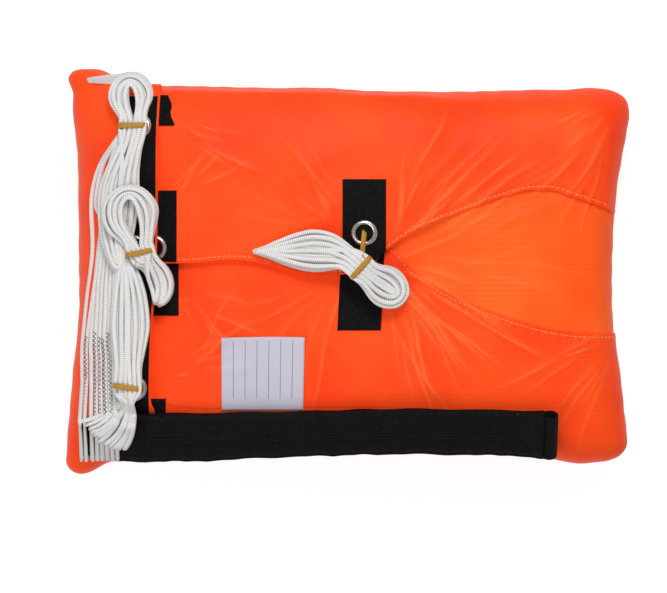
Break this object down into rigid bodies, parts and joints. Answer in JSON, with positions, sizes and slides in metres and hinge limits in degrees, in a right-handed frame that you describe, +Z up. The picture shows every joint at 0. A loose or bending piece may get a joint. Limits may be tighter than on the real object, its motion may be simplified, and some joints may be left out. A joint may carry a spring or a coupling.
{
  "type": "packed emergency parachute",
  "caption": "Emergency parachute folded in a ripstop deployment bag, with stowed suspension lines, rubber stow loops, eyelet closures, a label and a sleeved webbing bridle.",
  "frame": {"origin": "on the table, under the middle of the bag as it lies on its back", "axes": "+X along the bag's long side, from the mouth flap to the free end; +Y towards the upper leaf; +Z up from the table"},
  "size_m": [0.3288, 0.2277, 0.1034],
  "materials": {
    "ripstop": "thin coated ripstop cloth, fluorescent orange",
    "canopy": "thin white canopy cloth",
    "tape": "woven black binding tape",
    "webbing": "black woven webbing",
    "sleeve": "matt black sleeve cloth",
    "line": "flat white braided line",
    "label": "satin label cloth",
    "rubber": "ochre rubber",
    "nickel": "nickel-plated brass"
  },
  "bodies": {
    "bag": {"back_panel": "ripstop", "lower_side_wall": "ripstop", "handle_loop": "webbing", "canopy": "canopy"},
    "mouth_flap": {"mouth_flap": "ripstop", "mouth_strip": "tape", "strip_eyelets": "nickel", "strip_washers": "nickel", "band_top": "rubber", "band_mid": "rubber", "band_bottom": "rubber", "line_tails": "line", "line_lead": "line", "bridle_root": "webbing", "line_loops": "line"},
    "stowed_lines": {"hank_top": "line", "hank_mid": "line", "hank_bottom": "line"},
    "bridle": {"bridle_webbing": "webbing", "bridle_sleeve": "sleeve"},
    "sleeve_flap": {"sleeve_flap": "sleeve"},
    "upper_leaf": {"upper_leaf": "ripstop", "upper_centre_patch": "tape", "upper_mouth_patch": "tape", "upper_corner_patch": "tape", "upper_leaf_eyelets": "nickel", "upper_leaf_washers": "nickel", "band_centre": "rubber"},
    "centre_hank": {"hank_centre": "line"},
    "lower_leaf": {"lower_leaf": "ripstop", "lower_centre_patch": "tape", "lower_mouth_patch": "tape", "lower_corner_patch": "tape", "lower_leaf_eyelets": "nickel", "lower_leaf_washers": "nickel"},
    "label": {"label": "label"},
    "right_leaf": {"right_leaf": "ripstop"}
  },
  "joints": [
    {"name": "mouth_flap_open", "type": "hinge", "parent": "bag", "child": "mouth_flap", "pos_m": [-0.1648, 0, 0.038], "axis": [0, -1, 0], "range_deg": [0, 150]},
    {"name": "upper_leaf_open", "type": "hinge", "parent": "bag", "child": "upper_leaf", "pos_m": [0, 0.1112, 0.038], "axis": [-1, 0, 0], "range_deg": [0, 75]},
    {"name": "lower_leaf_open", "type": "hinge", "parent": "bag", "child": "lower_leaf", "pos_m": [0, -0.0799, 0.0739], "axis": [1, 0, 0], "range_deg": [0, 60]},
    {"name": "right_leaf_open", "type": "hinge", "parent": "bag", "child": "right_leaf", "pos_m": [0.1562, 0, 0.038], "axis": [0, 1, 0], "range_deg": [0, 30]},
    {"name": "stowed_lines_pull", "type": "slide", "parent": "mouth_flap", "child": "stowed_lines", "axis": [0, 0, 1], "range_m": [0, 0.025], "stiffness_N_per_m": 80, "deforming": ["band_top", "band_mid", "band_bottom", "line_tails"]},
    {"name": "centre_hank_pull", "type": "slide", "parent": "upper_leaf", "child": "centre_hank", "axis": [0, 0, 1], "range_m": [0, 0.025], "stiffness_N_per_m": 80, "deforming": ["band_centre"]},
    {"name": "bridle_lift", "type": "hinge", "parent": "mouth_flap", "child": "bridle", "pos_m": [-0.1185, -0.0969, 0.07697], "axis": [0, -0.8259, -0.5639], "range_deg": [0, 30]},
    {"name": "sleeve_flap_open", "type": "hinge", "parent": "bridle", "child": "sleeve_flap", "pos_m": [0, -0.0835, 0.08484], "axis": [-1, 0, 0], "range_deg": [0, 110]},
    {"name": "label_flip", "type": "hinge", "parent": "lower_leaf", "child": "label", "pos_m": [0, -0.0783, 0.0747], "axis": [1, 0, 0], "range_deg": [0, 85]}
  ],
  "couplings": [
    {"joint": "upper_leaf_open", "follows": "mouth_flap_open", "ratio": 0.5},
    {"joint": "lower_leaf_open", "follows": "mouth_flap_open", "ratio": 0.4},
    {"joint": "right_leaf_open", "follows": "mouth_flap_open", "ratio": 0.2}
  ]
}
